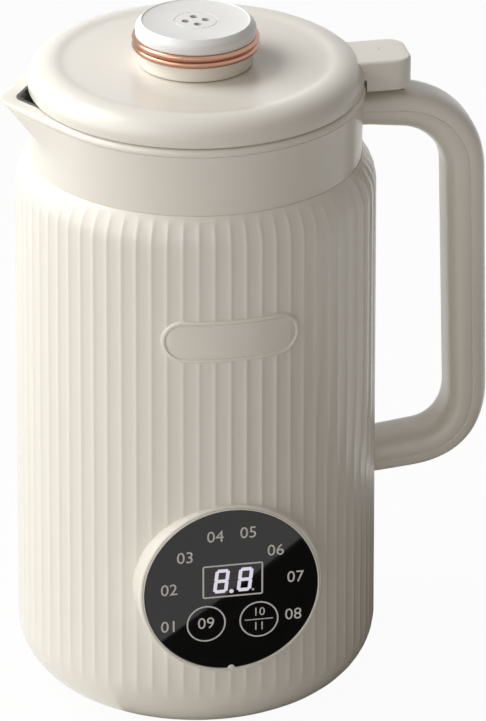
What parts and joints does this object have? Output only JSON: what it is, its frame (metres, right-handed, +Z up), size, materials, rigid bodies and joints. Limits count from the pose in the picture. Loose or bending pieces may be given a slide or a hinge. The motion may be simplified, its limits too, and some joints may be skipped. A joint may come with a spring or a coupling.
{
  "type": "soy milk maker",
  "caption": "Jug-shaped soy milk maker with fluted casing, pouring lip, lift-off lid with steam knob, D handle, touch panel, steel cup, heater, motor and blades.",
  "frame": {"origin": "on the body's vertical axis at the floor, in the plane of the foot ring", "axes": "+Z up; the pouring lip points to -X, the handle to +X, the touch panel faces -Y and the mains inlet faces +Y"},
  "size_m": [0.1782, 0.133, 0.2585],
  "materials": {
    "cream_plastic": "satin gloss, warm cream",
    "white_plastic": "satin, cool white",
    "rose_gold": "polished rose-gold plating",
    "steel": "brushed stainless steel",
    "blade_steel": "ground stainless steel",
    "screw_steel": "zinc-plated",
    "motor_steel": "laminated, oiled",
    "aluminium": "as cast",
    "copper": "enamelled wire",
    "carbon": "pressed carbon",
    "black_glass": "high gloss, back-printed",
    "display": "lit segments on a dark block",
    "black_plastic": "moulded, fine grain",
    "grey_plastic": "glass-filled nylon",
    "board": "solder mask",
    "rubber": "matt",
    "silicone": "matt, translucent grey"
  },
  "bodies": {
    "root": {"outer_shell": "cream_plastic", "base_cover": "cream_plastic", "foot_ring": "rubber", "chassis": "grey_plastic", "casing_screws": "screw_steel", "small_screws": "screw_steel", "collar": "cream_plastic", "cup": "steel", "cup_seal": "rubber", "heater_plate": "aluminium", "heating_ring": "aluminium", "thermostat": "black_plastic", "temperature_sensor": "steel", "blade_housing": "steel", "housing_gasket": "silicone", "housing_nut": "grey_plastic", "blade_bushes": "copper", "shaft_seal": "rubber", "motor_stator": "motor_steel", "field_coils": "copper", "lower_bracket": "aluminium", "upper_bracket": "aluminium", "motor_bearings": "screw_steel", "brush_holders": "grey_plastic", "carbon_brushes": "carbon", "motor_dampers": "rubber", "power_board": "board", "board_parts": "black_plastic", "inlet_socket": "black_plastic", "inlet_pins": "screw_steel", "panel_bezel": "cream_plastic", "panel_lens": "black_glass", "display_board": "board", "digit_display": "display", "touch_springs": "screw_steel", "handle_outer": "cream_plastic", "handle_inner": "cream_plastic", "handle_socket": "black_plastic"},
    "motor_rotor": {"motor_shaft": "motor_steel", "cooling_fan": "black_plastic", "commutator": "copper", "armature_core": "motor_steel", "armature_windings": "copper", "drive_coupling": "grey_plastic"},
    "blade_rotor": {"blade_shaft": "blade_steel", "lower_blade": "blade_steel", "upper_blade": "blade_steel", "blade_spacer": "blade_steel", "blade_nut": "blade_steel", "driven_coupling": "grey_plastic"},
    "lid": {"lid_cover": "cream_plastic", "lid_liner": "cream_plastic", "lid_seal": "silicone", "lid_screws": "screw_steel", "overflow_probe": "steel", "lid_coupler": "black_plastic"},
    "vent_cap": {"knob_base": "cream_plastic", "vent_seal": "silicone", "knob_trim": "rose_gold", "knob_cap": "white_plastic"}
  },
  "joints": [
    {"name": "lid_lift", "type": "slide", "parent": "root", "child": "lid", "axis": [0, 0, 1], "range_m": [0, 0.06]},
    {"name": "vent_cap_lift", "type": "slide", "parent": "lid", "child": "vent_cap", "axis": [0, 0, 1], "range_m": [0, 0.03]},
    {"name": "motor_spin", "type": "hinge", "parent": "root", "child": "motor_rotor", "pos_m": [0, 0, 0.047], "axis": [0, 0, 1], "continuous": true},
    {"name": "blade_spin", "type": "hinge", "parent": "root", "child": "blade_rotor", "pos_m": [0, 0, 0.1], "axis": [0, 0, 1], "continuous": true}
  ],
  "couplings": [
    {"joint": "blade_spin", "follows": "motor_spin", "ratio": 1}
  ]
}
